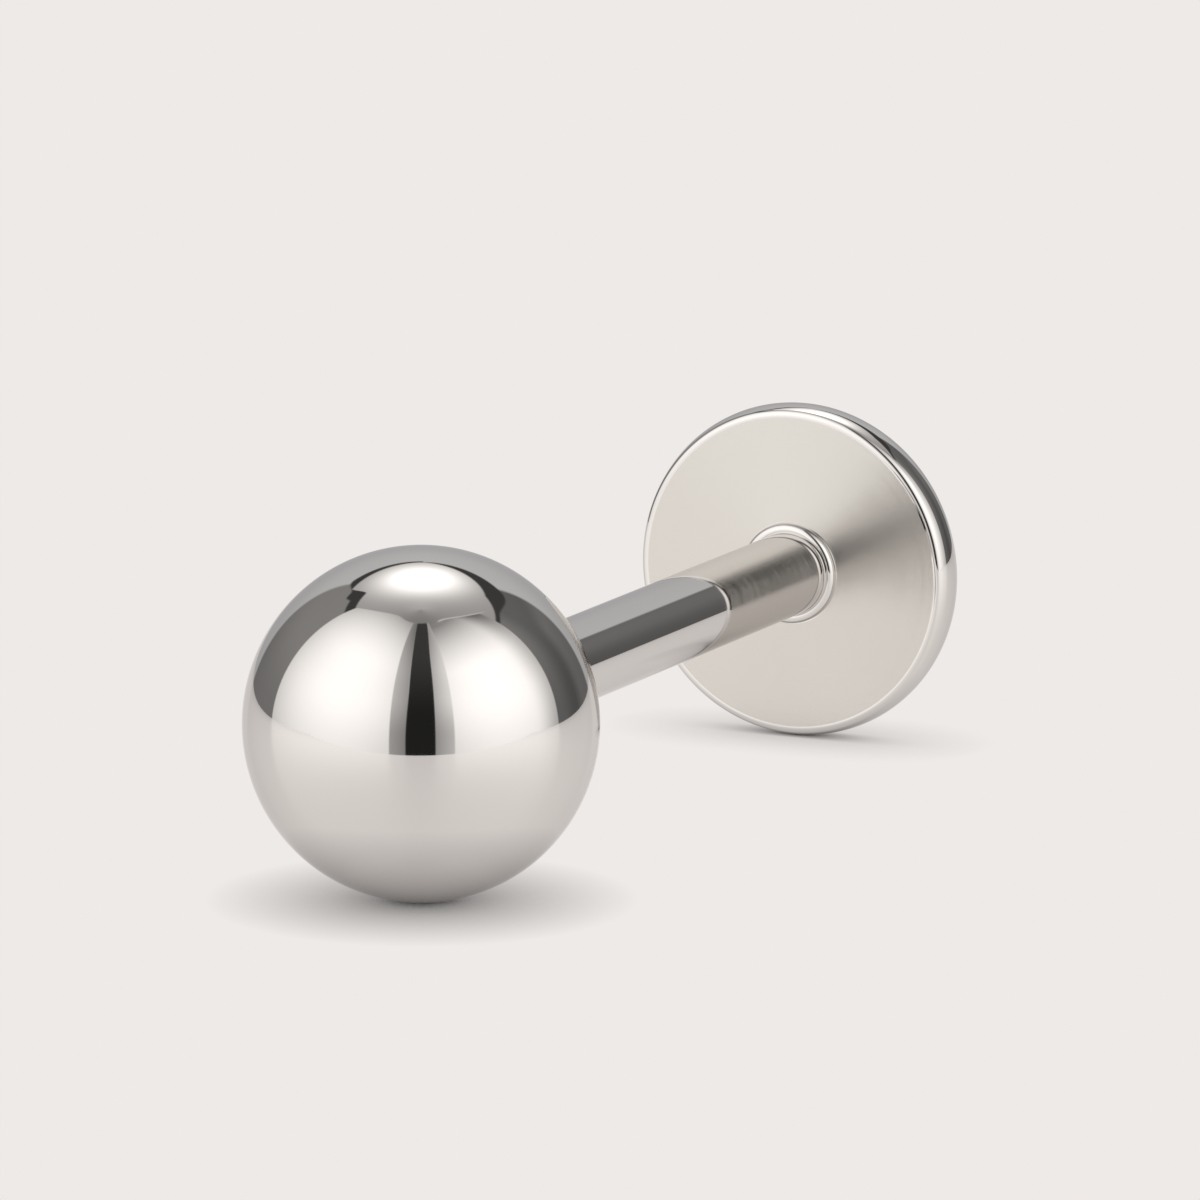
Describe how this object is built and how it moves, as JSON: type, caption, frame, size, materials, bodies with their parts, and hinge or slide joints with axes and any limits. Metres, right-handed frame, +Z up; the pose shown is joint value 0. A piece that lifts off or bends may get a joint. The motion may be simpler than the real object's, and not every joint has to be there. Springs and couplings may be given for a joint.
{
  "type": "labret stud",
  "caption": "Polished steel labret stud: a ball end that pulls off a straight round post with a flat round back and a bead at its foot.",
  "frame": {"origin": "on the surface the stud lies on, under the middle of its length", "axes": "+X along the post towards the ball, +Z up from the surface that the ball and the rim of the flat back rest on"},
  "size_m": [0.0124, 0.004, 0.004],
  "materials": {
    "back_steel": "mirror-polished post and rim, fine satin front face on the flat back",
    "ball_steel": "mirror-polished steel"
  },
  "bodies": {
    "back": {"flat_back_post": "back_steel"},
    "ball": {"ball_end": "ball_steel"}
  },
  "joints": [
    {"name": "ball_pull", "type": "slide", "parent": "back", "child": "ball", "axis": [1, 0, -0.002], "range_m": [0, 0.011]}
  ]
}
